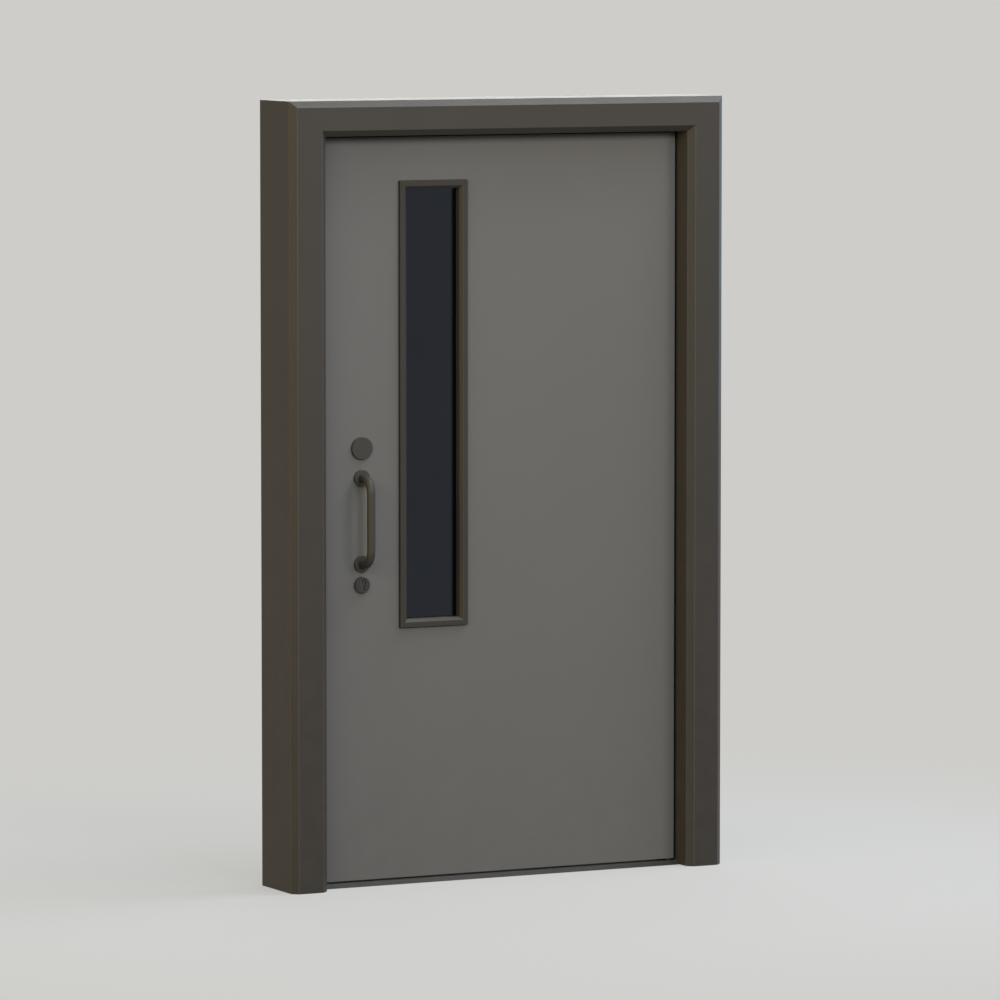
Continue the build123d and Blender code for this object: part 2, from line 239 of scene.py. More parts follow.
def material(finish: Finish) -> bpy.types.Material:
    """Makes a finish's material, or finds the one already made.

    Args:
        finish: The finish to draw.

    Returns:
        The material.
    """
    made = bpy.data.materials.get(finish.name)
    if made is None:
        made = bpy.data.materials.new(finish.name)
        made.use_nodes = True
        graph = Graph(made.node_tree)
        graph.show(finish.paint(graph))
    return made


@dataclass(frozen=True)
class SatinPaint:
    """Sprayed satin paint: faint orange peel, uneven sheen, thin coat on arrises and a speckled darkening
    towards the floor, partly dusty soiling and partly painted shade.
    """

    name: str
    colour: Colour
    roughness: float = 0.42
    shine: float = 0.22
    mottle: float = 0.02
    sheen_spread: float = 0.02
    peel_size: float = 2.2 * MM
    peel_depth: float = 0.012 * MM
    cloud_size: float = 0.33
    speckle_size: float = 0.05
    rub_size: float = 0.06
    sheen_size: float = 0.12
    worn: Colour = (0.30, 0.29, 0.27, 1.0)
    least_wear: float = 0.15
    wear: float = 0.16
    # Colour, share and height of the darkening towards the floor, which is partly soiling and partly
    # painted shade
    dust_and_shade: Colour = (0.036, 0.032, 0.028, 1.0)
    dust_and_shade_share: float = 0.22
    dust_and_shade_height: float = 0.55

    def paint(self, graph: Graph) -> Socket:
        """Draws the paint and returns its shader."""
        place = graph.place()
        shade = graph.span(graph.noise(place, self.cloud_size, 4.0), 0.3, 0.7)
        coat = graph.mix(shade, scaled(self.colour, 1 - self.mottle), scaled(self.colour, 1 + self.mottle))
        height = graph.add("ShaderNodeSeparateXYZ", {0: place}).outputs["Z"]
        # Speckled darkening towards the floor: partly soiling, partly painted shade standing in for light
        # falling off lower down
        near_floor = graph.span(height, 0.0, self.dust_and_shade_height, self.dust_and_shade_share, 0.0)
        speckle = graph.span(graph.noise(place, self.speckle_size, 6.0), 0.25, 0.75)
        coat = graph.mix(graph.math("MULTIPLY", near_floor, speckle), coat, self.dust_and_shade)
        arris = graph.add("ShaderNodeAttribute", attribute_name="arris").outputs["Fac"]
        rubbed = graph.span(graph.noise(place, self.rub_size, 3.0), 0.35, 0.65, self.least_wear, self.wear)
        coat = graph.mix(graph.math("MULTIPLY", arris, rubbed), coat, self.worn)
        even = self.roughness - self.sheen_spread
        uneven = self.roughness + self.sheen_spread
        sheen = graph.span(graph.noise(place, self.sheen_size, 5.0), 0.3, 0.7, even, uneven)
        peel = graph.noise(place, self.peel_size, 1.0)
        bump = graph.add("ShaderNodeBump", {"Height": peel, "Strength": 1.0, "Distance": self.peel_depth})
        inputs = {
            "Base Color": coat,
            "Roughness": sheen,
            "Specular IOR Level": self.shine,
            "Normal": bump.outputs[0],
        }
        return graph.add("ShaderNodeBsdfPrincipled", inputs).outputs[0]


@dataclass(frozen=True)
class BrushedMetal:
    """Bare metal drawn out along one direction, with fingering and uneven gloss."""

    name: str
    colour: Colour
    roughness: float = 0.38
    along: tuple[float, float, float] = (1.0, 1.0, 0.04)
    grain_size: float = 0.5 * MM
    grain_depth: float = 0.006 * MM
    tarnish: float = 0.35
    tarnish_size: float = 0.02
    gloss_below: float = 0.07
    gloss_above: float = 0.09
    metallic: float = 1.0

    def paint(self, graph: Graph) -> Socket:
        """Draws the metal and returns its shader."""
        place = graph.place()
        lines = graph.noise(graph.stretched(place, self.along), self.grain_size, 3.0)
        cloud = graph.span(graph.noise(place, self.tarnish_size, 5.0), 0.35, 0.7)
        coat = graph.mix(cloud, self.colour, scaled(self.colour, 1 - self.tarnish))
        smoothest = self.roughness - self.gloss_below
        roughest = self.roughness + self.gloss_above
        gloss = graph.span(lines, 0.3, 0.7, smoothest, roughest)
        bump = graph.add("ShaderNodeBump", {"Height": lines, "Strength": 1.0, "Distance": self.grain_depth})
        inputs = {
            "Base Color": coat,
            "Roughness": gloss,
            "Metallic": self.metallic,
            "Normal": bump.outputs[0],
        }
        return graph.add("ShaderNodeBsdfPrincipled", inputs).outputs[0]


@dataclass(frozen=True)
class Rubber:
    """Matt extruded rubber with a dry bloom and fine drawing lines."""

    name: str
    colour: Colour
    bloom: Colour = (0.06, 0.06, 0.058, 1.0)
    bloom_size: float = 0.03
    bloom_share: float = 0.5
    grain_size: float = 0.8 * MM
    grain_depth: float = 0.02 * MM
    roughness: float = 0.72

    def paint(self, graph: Graph) -> Socket:
        """Draws the rubber and returns its shader."""
        place = graph.place()
        cloud = graph.span(graph.noise(place, self.bloom_size, 6.0), 0.45, 0.8)
        coat = graph.mix(graph.math("MULTIPLY", cloud, self.bloom_share), self.colour, self.bloom)
        grain = graph.noise(place, self.grain_size, 3.0)
        bump = graph.add("ShaderNodeBump", {"Height": grain, "Strength": 1.0, "Distance": self.grain_depth})
        inputs = {"Base Color": coat, "Roughness": self.roughness, "Normal": bump.outputs[0]}
        return graph.add("ShaderNodeBsdfPrincipled", inputs).outputs[0]


@dataclass(frozen=True)
class TintedGlass:
    """Dark grey-blue glass that passes a little and mirrors weakly, with a faint wave and a dusty film."""

    name: str
    colour: Colour
    roughness: float = 0.04
    passed: float = 0.95
    mirrored: Colour = (0.42, 0.42, 0.44, 1.0)
    film_size: float = 0.09
    film_gain: float = 1.12
    wave_size: float = 0.16
    wave_depth: float = 0.05 * MM

    def paint(self, graph: Graph) -> Socket:
        """Draws the glass and returns its shader."""
        place = graph.place()
        film = graph.span(graph.noise(place, self.film_size, 5.0), 0.3, 0.75)
        tint = graph.mix(film, self.colour, scaled(self.colour, self.film_gain))
        wave = graph.noise(place, self.wave_size, 1.0)
        bump = graph.add("ShaderNodeBump", {"Height": wave, "Strength": 1.0, "Distance": self.wave_depth})
        inputs = {
            "Base Color": tint,
            "Roughness": self.roughness,
            "Transmission Weight": self.passed,
            "Specular Tint": self.mirrored,
            "Normal": bump.outputs[0],
        }
        return graph.add("ShaderNodeBsdfPrincipled", inputs).outputs[0]


# The frame's darkening reaches 2 m, so it is mostly painted shade: the frame is painted darker towards the
# bottom
FRAME_PAINT = SatinPaint("frame_satin", tone(70, 66, 62), shine=0.12, dust_and_shade_share=0.3, dust_and_shade_height=2.0)
LEAF_PAINT = SatinPaint("leaf_satin", tone(109, 107, 104), roughness=0.46, mottle=0.01, dust_and_shade_share=0.06)
BEAD_PAINT = SatinPaint("bead_satin", tone(65, 61, 56), shine=0.12, peel_size=1.6 * MM, dust_and_shade_share=0.0)
HARDWARE = SatinPaint(
    "hardware_satin", tone(64, 62, 57), roughness=0.46, peel_size=1.2 * MM, dust_and_shade_share=0.0,
)
KEY_ROSE = SatinPaint(
    "key_rose_satin", tone(55, 54, 52), roughness=0.46, peel_size=1.2 * MM, dust_and_shade_share=0.0,
)
STEEL = BrushedMetal("plain_steel", tone(150, 149, 146))
DARK_STEEL = BrushedMetal("blacked_steel", tone(58, 56, 53), metallic=0.6)
THRESHOLD = SatinPaint("threshold_satin", tone(60, 58, 56), shine=0.12, roughness=0.5, dust_and_shade_share=0.3)
CYLINDER = BrushedMetal("cylinder_face", tone(66, 63, 59), roughness=0.4, metallic=0.4)
SEAL = Rubber("edge_seal_grey", tone(44, 43, 41))
# Near-black seal line round the beads; its darkness is partly painted shade for the creases and shadows
# round them
SEALANT_AND_SHADE = Rubber("glazing_sealant_and_shade", tone(22, 21, 20), bloom=(0.012, 0.012, 0.011, 1.0))
RUBBER = Rubber("black_rubber", tone(24, 24, 24))
GLASS = TintedGlass("panel_glass", tone(34, 39, 47))


def placed(piece: bpy.types.Object, body: Body, slot: Slot, *nodes: str) -> bpy.types.Object:
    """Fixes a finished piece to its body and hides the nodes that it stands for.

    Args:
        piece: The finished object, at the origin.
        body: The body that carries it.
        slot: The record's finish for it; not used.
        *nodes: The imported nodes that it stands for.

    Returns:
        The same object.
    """
    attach(piece, body.value)
    if nodes:
        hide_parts(*nodes)
    log.info("%s: %d faces on %s", piece.name, len(piece.data.polygons), body.value)
    return piece


def is_mitre(face: bmesh.types.BMFace) -> bool:
    """Tells a mitred end, whose normal leans both sideways and up or down."""
    across, along, up = (abs(part) for part in face.normal)
    return across > MITRE_LEAN and up > MITRE_LEAN and along < MITRE_SLACK


@dataclass
class EasedPiece:
    """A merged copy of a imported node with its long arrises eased, in the node's own place."""

    node: str
    finish: Finish
    slot: Slot
    body: Body
    arris: float = 0.6 * MM
    steps: int = 2
    shortest: float = 6 * MM
    crease: float = math.radians(32)
    merge_distance: float = 0.001 * MM
    flat_angle: float = math.radians(0.4)

    def arrises(self, shape: bmesh.types.BMesh) -> list[bmesh.types.BMEdge]:
        """Finds the outward edges to ease, which leaves out mitred ends and the edges of small holes.

        Args:
            shape: The merged copy.

        Returns:
            The edges to ease.
        """
        chosen = []
        for edge in shape.edges:
            if len(edge.link_faces) != 2 or not edge.is_convex:
                continue
            if edge.calc_face_angle(0.0) < self.crease or edge.calc_length() < self.shortest:
                continue
            if any(is_mitre(face) for face in edge.link_faces):
                continue
            chosen.append(edge)
        return chosen

    def build(self) -> bpy.types.Object:
        """Makes the eased copy and puts it in the node's place.

        Returns:
            The new object.
        """
        mesh = bpy.data.meshes.new(f"{self.node}_eased")
        shape = bmesh.new()
        shape.from_mesh(frame["nodes"][self.node].data)
        bmesh.ops.remove_doubles(shape, verts=shape.verts, dist=self.merge_distance)
        bmesh.ops.dissolve_limit(shape, angle_limit=self.flat_angle, verts=shape.verts, edges=shape.edges)
        worn = shape.faces.layers.float.new("arris")
        edges = self.arrises(shape)
        if self.arris and edges:
            made = bmesh.ops.bevel(
                shape, geom=edges, offset=self.arris, segments=self.steps, profile=0.5, affect="EDGES",
                clamp_overlap=True, miter_outer="SHARP", miter_inner="SHARP",
            )
            for face in made["faces"]:
                face[worn] = 1.0
        low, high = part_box(self.node)
        for point in shape.verts:
            point.co = [min(max(value, least), most) for value, least, most in zip(point.co, low, high)]
        for face in shape.faces:
            face.smooth = True
        shape.to_mesh(mesh)
        shape.free()
        mesh.set_sharp_from_angle(angle=self.crease)
        piece = linked(f"{self.node}_finished", mesh)
        weigh = piece.modifiers.new("flat_faces", "WEIGHTED_NORMAL")
        weigh.keep_sharp = True
        weigh.weight = 100
        mesh.materials.append(material(self.finish))
        return placed(piece, self.body, self.slot, self.node)


def geometry_tree(name: str, sockets: dict[str, str]) -> tuple[bpy.types.NodeTree, Graph, bpy.types.Node]:
    """Starts a Geometry Nodes tree with its named inputs.

    Args:
        name: The tree's name.
        sockets: The socket type of each named input, after the geometry.

    Returns:
        The tree, a graph to draw it with, and its input node.
    """
    tree = bpy.data.node_groups.new(name, "GeometryNodeTree")
    graph = Graph(tree)
    tree.interface.new_socket("Geometry", in_out="OUTPUT", socket_type="NodeSocketGeometry")
    tree.interface.new_socket("Geometry", in_out="INPUT", socket_type="NodeSocketGeometry")
    for label, kind in sockets.items():
        tree.interface.new_socket(label, in_out="INPUT", socket_type=kind)
    return tree, graph, graph.add("NodeGroupInput")


def close_tree(graph: Graph, shape: Socket, finish: Socket) -> None:
    """Ends a tree with real geometry in its finish.

    Args:
        graph: The tree's graph.
        shape: The geometry to end with.
        finish: The material socket.
    """
    real = graph.add("GeometryNodeRealizeInstances", {"Geometry": shape}).outputs[0]
    dressed = graph.add("GeometryNodeSetMaterial", {"Geometry": real, "Material": finish}).outputs[0]
    graph.add("NodeGroupOutput", {"Geometry": dressed})


def grown(name: str, points: list[Vector], edges: list[tuple[int, int]], tree: bpy.types.NodeTree,
          values: dict[str, object]) -> bpy.types.Object:
    """Runs a Geometry Nodes tree over a few points and keeps the result as a plain mesh.

    Args:
        name: The new piece's name.
        points: The points to start from.
        edges: The pairs of points that a path joins.
        tree: The tree to run.
        values: A value for each named input.

    Returns:
        The new object, with no modifier left.
    """
    seed_mesh = bpy.data.meshes.new(f"{name}_points")
    seed_mesh.from_pydata([tuple(point) for point in points], edges, [])
    seed = linked(f"{name}_points", seed_mesh)
    nodes = seed.modifiers.new("grow", "NODES")
    nodes.node_group = tree
    for item in tree.interface.items_tree:
        if item.item_type == "SOCKET" and item.in_out == "INPUT" and item.name in values:
            nodes[item.identifier] = values[item.name]
    bpy.context.view_layer.update()
    grown_object = seed.evaluated_get(bpy.context.evaluated_depsgraph_get())
    mesh = bpy.data.meshes.new_from_object(grown_object)
    seed.modifiers.remove(nodes)
    bpy.data.objects.remove(seed)
    mesh.name = name
    return linked(name, mesh)


def swept_bar_tree() -> bpy.types.NodeTree:
    """Draws the tree that bends a round bar along a path of straight runs.

    Returns:
        The tree.
    """
    tree, graph, given = geometry_tree("bent_bar", {
        "Bar Radius": "NodeSocketFloat",
        "Bend Radius": "NodeSocketFloat",
        "Bend Steps": "NodeSocketInt",
        "Round Steps": "NodeSocketInt",
        "Finish": "NodeSocketMaterial",
    })
    path = graph.add("GeometryNodeMeshToCurve", {"Mesh": given.outputs["Geometry"]}).outputs[0]
    bends = {"Curve": path, "Count": given.outputs["Bend Steps"], "Radius": given.outputs["Bend Radius"]}
    bent = graph.add("GeometryNodeFilletCurve", bends, mode="POLY").outputs[0]
    ring = {"Resolution": given.outputs["Round Steps"], "Radius": given.outputs["Bar Radius"]}
    section = graph.add("GeometryNodeCurvePrimitiveCircle", ring).outputs[0]
    sweep = {"Curve": bent, "Profile Curve": section, "Fill Caps": True}
    bar = graph.add("GeometryNodeCurveToMesh", sweep).outputs[0]
    smooth = graph.add("GeometryNodeSetShadeSmooth", {0: bar, 2: True}).outputs[0]
    close_tree(graph, smooth, given.outputs["Finish"])
    return tree


def screw_tree() -> bpy.types.NodeTree:
    """Draws the tree that sets a cross-recessed raised screw on each point, each turned its own way.

    Returns:
        The tree.
    """
    tree, graph, given = geometry_tree("raised_screws", {
        "Head Radius": "NodeSocketFloat",
        "Dome Height": "NodeSocketFloat",
        "Round Steps": "NodeSocketInt",
        "Dome Steps": "NodeSocketInt",
        "Recess Width": "NodeSocketFloat",
        "Recess Reach": "NodeSocketFloat",
        "Recess Lift": "NodeSocketFloat",
        "Facing": "NodeSocketVector",
        "Seed": "NodeSocketInt",
        "Finish": "NodeSocketMaterial",
    })
    radius = given.outputs["Head Radius"]
    depth = given.outputs["Dome Height"]
    steps = {"Segments": given.outputs["Round Steps"], "Rings": given.outputs["Dome Steps"]}
    ball = graph.add("GeometryNodeMeshUVSphere", {**steps, "Radius": 1.0}).outputs[0]
    squat = graph.add("ShaderNodeCombineXYZ", {0: radius, 1: radius, 2: depth}).outputs[0]
    head = graph.add("GeometryNodeTransform", {"Geometry": ball, "Scale": squat}).outputs[0]
    arm = graph.math("MULTIPLY", radius, given.outputs["Recess Reach"])
    width = given.outputs["Recess Width"]
    raised = graph.math("MULTIPLY", depth, given.outputs["Recess Lift"])
    cutters = []
    for sides in ((arm, width), (width, arm)):
        size = graph.add("ShaderNodeCombineXYZ", {0: sides[0], 1: sides[1], 2: depth}).outputs[0]
        block = graph.add("GeometryNodeMeshCube", {"Size": size}).outputs[0]
        lift = graph.add("ShaderNodeCombineXYZ", {2: raised}).outputs[0]
        lifted = graph.add("GeometryNodeTransform", {"Geometry": block, "Translation": lift})
        cutters.append(lifted.outputs[0])
    cut = graph.add("GeometryNodeMeshBoolean", {0: head}, operation="DIFFERENCE")
    for cutter in cutters:
        tree.links.new(cutter, cut.inputs[1])
    upright = graph.add("FunctionNodeAlignRotationToVector", {"Vector": given.outputs["Facing"]}, axis="Z")
    turn = graph.add("FunctionNodeRandomValue", {2: 0.0, 3: math.pi / 2, "Seed": given.outputs["Seed"]})
    spin = graph.add("FunctionNodeAxisAngleToRotation", {"Angle": turn.outputs[1]}).outputs[0]
    turns = {0: upright.outputs[0], 1: spin}
    turned = graph.add("FunctionNodeRotateRotation", turns, rotation_space="LOCAL")
    points = graph.add("GeometryNodeMeshToPoints", {"Mesh": given.outputs["Geometry"]}).outputs[0]
    copies = {"Points": points, "Instance": cut.outputs[0], "Rotation": turned.outputs[0]}
    screws = graph.add("GeometryNodeInstanceOnPoints", copies).outputs[0]
    close_tree(graph, screws, given.outputs["Finish"])
    return tree


def finned_strip_tree() -> bpy.types.NodeTree:
    """Draws the tree that runs a seal's strip, with one soft fin on it, along a straight edge.

    Returns:
        The tree.
    """
    tree, graph, given = geometry_tree("finned_strip", {
        "Strip Width": "NodeSocketFloat",
        "Strip Depth": "NodeSocketFloat",
        "Fin Reach": "NodeSocketFloat",
        "Fin Thickness": "NodeSocketFloat",
        "Outward": "NodeSocketVector",
        "Finish": "NodeSocketMaterial",
    })
    path = graph.add("GeometryNodeMeshToCurve", {"Mesh": given.outputs["Geometry"]}).outputs[0]
    outward = {0: path, "Normal": given.outputs["Outward"]}
    steady = graph.add("GeometryNodeSetCurveNormal", outward, mode="FREE")
    parts = []
    strip_depth = given.outputs["Strip Depth"]
    fin_reach = given.outputs["Fin Reach"]
    sections = (
        (given.outputs["Strip Width"], strip_depth, graph.math("MULTIPLY", strip_depth, -0.5)),
        (given.outputs["Fin Thickness"], fin_reach, graph.math("MULTIPLY", fin_reach, 0.5)),
    )
    for width, height, rise in sections:
        sides = {"Width": height, "Height": width}
        profile = graph.add("GeometryNodeCurvePrimitiveQuadrilateral", sides).outputs[0]
        lift = graph.add("ShaderNodeCombineXYZ", {0: rise}).outputs[0]
        moved = graph.add("GeometryNodeTransform", {"Geometry": profile, "Translation": lift}).outputs[0]
        sweep = {"Curve": steady.outputs[0], "Profile Curve": moved, "Fill Caps": True}
        parts.append(graph.add("GeometryNodeCurveToMesh", sweep).outputs[0])
    both = graph.add("GeometryNodeJoinGeometry")
    for part in parts:
        tree.links.new(part, both.inputs[0])
    close_tree(graph, both.outputs[0], given.outputs["Finish"])
    return tree


def plug_tree() -> bpy.types.NodeTree:
    """Draws the tree that sets a short round plug on each point.

    Returns:
        The tree.
    """
    tree, graph, given = geometry_tree("round_plugs", {
        "Radius": "NodeSocketFloat",
        "Thickness": "NodeSocketFloat",
        "Round Steps": "NodeSocketInt",
        "Facing": "NodeSocketVector",
        "Finish": "NodeSocketMaterial",
    })
    size = {
        "Vertices": given.outputs["Round Steps"],
        "Radius": given.outputs["Radius"],
        "Depth": given.outputs["Thickness"],
    }
    plug = graph.add("GeometryNodeMeshCylinder", size).outputs[0]
    upright = graph.add("FunctionNodeAlignRotationToVector", {"Vector": given.outputs["Facing"]}, axis="Z")
    points = graph.add("GeometryNodeMeshToPoints", {"Mesh": given.outputs["Geometry"]}).outputs[0]
    copies = {"Points": points, "Instance": plug, "Rotation": upright.outputs[0]}
    plugs = graph.add("GeometryNodeInstanceOnPoints", copies).outputs[0]
    close_tree(graph, plugs, given.outputs["Finish"])
    return tree


@dataclass
class FixingPlugs:
    """Painted plugs that close the mouths of the fixing holes, flush with the outer faces of the jambs."""

    thickness: float = 2.0 * MM
    play: float = 0.02 * MM
    round_steps: int = 48

    def build(self) -> None:
        """Sets one plug in each mouth that the record's bolt patterns name."""
        tree = plug_tree()
        patterns = [mount for mount in frame["record"]["mounts"] if mount["kind"] == "bolt_pattern"]
        for node, side in (("jamb_left", -1), ("jamb_right", 1)):
            low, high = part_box(node)
            outer = low.x if side < 0 else high.x
            points = []
            for mount in patterns:
                x, y, z = mount["pos_m"]
                if x * side < 0:
                    continue
                radius = mount["dims"]["hole_r_mm"] * MM - self.play
                half_pitch = mount["dims"]["spacing_y_mm"] * MM / 2
                middle_x = outer - side * self.thickness / 2
                points += [Vector((middle_x, y, z - half_pitch)), Vector((middle_x, y, z + half_pitch))]
            piece = grown(f"{node}_plugs", points, [], tree, {
                "Radius": radius,
                "Thickness": self.thickness,
                "Round Steps": self.round_steps,
                "Facing": Vector((side, 0, 0)),
                "Finish": material(FRAME_PAINT),
            })
            placed(piece, Body.FRAME, Slot.FRAME_PAINT)


@dataclass
class ScrewSet:
    """Raised cross-recessed screws that stand on one plane of one body."""

    name: str
    body: Body
    points: list[Vector]
    facing: Vector
    head_radius: float = 3.65 * MM
    dome_height: float = 0.5 * MM
    round_steps: int = 28
    dome_steps: int = 12
    recess_width: float = 0.9 * MM
    recess_reach: float = 1.15
    recess_lift: float = 0.9
    seed: int = 3

    def build(self, tree: bpy.types.NodeTree) -> bpy.types.Object:
        """Sets the screws.

        Args:
            tree: The screw tree.

        Returns:
            The screws, as one mesh.
        """
        piece = grown(self.name, self.points, [], tree, {
            "Head Radius": self.head_radius,
            "Dome Height": self.dome_height,
            "Round Steps": self.round_steps,
            "Dome Steps": self.dome_steps,
            "Recess Width": self.recess_width,
            "Recess Reach": self.recess_reach,
            "Recess Lift": self.recess_lift,
            "Facing": self.facing,
            "Seed": self.seed,
            "Finish": material(STEEL),
        })
        return placed(piece, self.body, Slot.STEEL)


@dataclass
class Surround:
    """The mitred, bevelled frame with its threshold and planted stops."""

    arris: float = 1.0 * MM
    stop_arris: float = 0.4 * MM

    def build(self) -> None:
        """Builds every fixed painted member."""
        for node in ("jamb_left", "jamb_right", "head"):
            EasedPiece(node, FRAME_PAINT, Slot.FRAME_PAINT, Body.FRAME, self.arris).build()
        for node in ("stop_left", "stop_right", "stop_head"):
            EasedPiece(node, FRAME_PAINT, Slot.FRAME_PAINT, Body.FRAME, self.stop_arris).build()
        EasedPiece("threshold", THRESHOLD, Slot.THRESHOLD, Body.FRAME, self.stop_arris).build()


@dataclass
class EdgeSeals:
    """The finned strips let into the jambs and head, opposite the leaf's edges."""

    fin_reach: float = 0.5 * MM
    fin_thickness: float = 1.4 * MM

    def build(self) -> None:
        """Runs one strip along each side of the doorway."""
        tree = finned_strip_tree()
        for node, outward in (("seal_left", Vector((1, 0, 0))), ("seal_right", Vector((-1, 0, 0))),
                              ("seal_head", Vector((0, 0, -1)))):
            low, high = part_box(node)
            middle = (low + high) / 2
            if outward.x:
                face = high.x if outward.x > 0 else low.x
                points = [Vector((face, middle.y, low.z)), Vector((face, middle.y, high.z))]
                depth = high.x - low.x
            else:
                points = [Vector((low.x, middle.y, low.z)), Vector((high.x, middle.y, low.z))]
                depth = high.z - low.z
            piece = grown(f"{node}_finned", points, [(0, 1)], tree, {
                "Strip Width": high.y - low.y,
                "Strip Depth": depth,
                "Fin Reach": self.fin_reach,
                "Fin Thickness": self.fin_thickness,
                "Outward": outward,
                "Finish": material(SEAL),
            })
            placed(piece, Body.FRAME, Slot.EDGE_SEAL, node)


@dataclass
class Leaf:
    """The flush leaf: its core, its two lippings and the seal under it."""

    arris: float = 0.5 * MM

    def build(self) -> None:
        """Builds the leaf's own pieces."""
        EasedPiece("door_leaf", LEAF_PAINT, Slot.LEAF_PAINT, Body.LEAF, 0.0).build()
        for node in ("lipping_lock", "lipping_hinge"):
            EasedPiece(node, LEAF_PAINT, Slot.LEAF_PAINT, Body.LEAF, self.arris, shortest=1500 * MM).build()
        EasedPiece("drop_seal", RUBBER, Slot.RUBBER, Body.LEAF, self.arris).build()


@dataclass
class VisionPanel:
    """The narrow glazed panel, with a mitred ring of bevelled beads on each side."""

    arris: float = 0.5 * MM
    sealant_and_shade_width: float = 1.4 * MM
    sealant_and_shade_rise: float = 0.3 * MM
    sides: tuple[str, ...] = ("top", "bottom", "left", "right")

    def build(self) -> None:
        """Builds the beads, gaskets and glass."""
        for face in Face:
            for side in self.sides:
                node = face.named(f"bead_{side}")
                EasedPiece(node, BEAD_PAINT, Slot.BEAD_PAINT, Body.LEAF, self.arris).build()
            EasedPiece(face.named("gasket"), RUBBER, Slot.RUBBER, Body.LEAF, 0.0).build()
            self.sealant_and_shade_round(face)
        EasedPiece("glass_pane", GLASS, Slot.GLASS, Body.LEAF, self.arris).build()

    def sealant_and_shade_round(self, face: Face) -> bpy.types.Object:
        """Runs a thin near-black line of glazing seal round the outside of one ring of beads, where it
        meets the leaf; its darkness is partly painted shade for the crease and the shadow under the beads.

        Args:
            face: The side of the leaf.

        Returns:
            The line.
        """
        boxes = [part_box(face.named(f"bead_{side}")) for side in self.sides]
        low = Vector((min(box[0][axis] for box in boxes) for axis in range(3)))
        high = Vector((max(box[1][axis] for box in boxes) for axis in range(3)))
        leaf_low, leaf_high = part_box("door_leaf")
        root = leaf_low.y if face is Face.FRONT else leaf_high.y
        levels = (root, root + face.value * self.sealant_and_shade_rise)
        corners = []
        for reach in (0.0, self.sealant_and_shade_width):
            left, right = low.x - reach, high.x + reach
            foot, top = low.z - reach, high.z + reach
            corners.append([(left, foot), (right, foot), (right, top), (left, top)])
        shape = bmesh.new()
        rings = [[[shape.verts.new((x, y, z)) for x, z in ring] for ring in corners] for y in levels]
        for at in range(4):
            after = (at + 1) % 4
            for first, second in ((rings[0][0], rings[1][0]), (rings[1][0], rings[1][1]),
                                  (rings[1][1], rings[0][1]), (rings[0][1], rings[0][0])):
                shape.faces.new((first[at], first[after], second[after], second[at]))
        bmesh.ops.recalc_face_normals(shape, faces=shape.faces)
        mesh = bpy.data.meshes.new(face.named("sealant_and_shade"))
        shape.to_mesh(mesh)
        shape.free()
        # The line's near-black colour is partly painted shade for the crease and the shadow under the beads
        mesh.materials.append(material(SEALANT_AND_SHADE))
        return placed(linked(mesh.name, mesh), Body.LEAF, Slot.RUBBER)


@dataclass
class PullHandles:
    """The bent pull bars and their round roses, with the cover discs above."""

    bend_radius: float = 42 * MM
    bend_steps: int = 20
    round_steps: int = 48
    stems: tuple[str, ...] = ("rose_upper", "rose_lower", "cover_disc")

    def build(self) -> None:
        """Builds both handles, one on each side of the leaf."""
        tree = swept_bar_tree()
        for face in Face:
            self.build_bar(face, tree)
            for stem in self.stems:
                EasedPiece(face.named(stem), HARDWARE, Slot.HARDWARE, Body.LEAF, 0.0).build()

    def build_bar(self, face: Face, tree: bpy.types.NodeTree) -> bpy.types.Object:
        """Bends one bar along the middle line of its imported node.

        Args:
            face: The side of the leaf.
            tree: The tree that sweeps the bar.

        Returns:
            The bar.
        """
        node = face.named("pull_bar")
        low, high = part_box(node)
        radius = (high.x - low.x) / 2
        middle_x = (low.x + high.x) / 2
        root_y, grip_y = (high.y, low.y + radius) if face is Face.FRONT else (low.y, high.y - radius)
        low_z = low.z + radius
        high_z = high.z - radius
        corners = [(root_y, low_z), (grip_y, low_z), (grip_y, high_z), (root_y, high_z)]
        points = [Vector((middle_x, y, z)) for y, z in corners]
        piece = grown(f"{node}_swept", points, [(0, 1), (1, 2), (2, 3)], tree, {
            "Bar Radius": radius,
            "Bend Radius": self.bend_radius,
            "Bend Steps": self.bend_steps,
            "Round Steps": self.round_steps,
            "Finish": material(HARDWARE),
        })
        return placed(piece, Body.LEAF, Slot.HARDWARE, node)


@dataclass
class Lock:
    """The keyhole roses, profile cylinder, lock case with its forend, bolt and strike plate."""

    screw_inset: float = 11 * MM
    arris: float = 0.3 * MM

    def build(self, screws: bpy.types.NodeTree) -> None:
        """Builds the lock's pieces and the screws in its two plates.

        Args:
            screws: The tree that sets screws.
        """
        for face in Face:
            EasedPiece(face.named("escutcheon"), KEY_ROSE, Slot.HARDWARE, Body.LEAF, 0.0).build()
        EasedPiece("lock_cylinder", CYLINDER, Slot.CYLINDER, Body.LEAF, 0.0).build()
        EasedPiece("lock_case", STEEL, Slot.STEEL, Body.LEAF, 0.0).build()
        EasedPiece("lock_bolt", STEEL, Slot.STEEL, Body.LEAF, self.arris).build()
        EasedPiece("strike_plate", STEEL, Slot.STEEL, Body.FRAME, self.arris).build()
        for node, body, outward in (("lock_case", Body.LEAF, -1), ("strike_plate", Body.FRAME, 1)):
            low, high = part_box(node)
            face_x = low.x if outward < 0 else high.x
            middle_y = (low.y + high.y) / 2
            rows = [low.z + self.screw_inset, high.z - self.screw_inset]
            points = [Vector((face_x, middle_y, z)) for z in rows]
            ScrewSet(f"{node}_screws", body, points, Vector((outward, 0, 0))).build(screws)


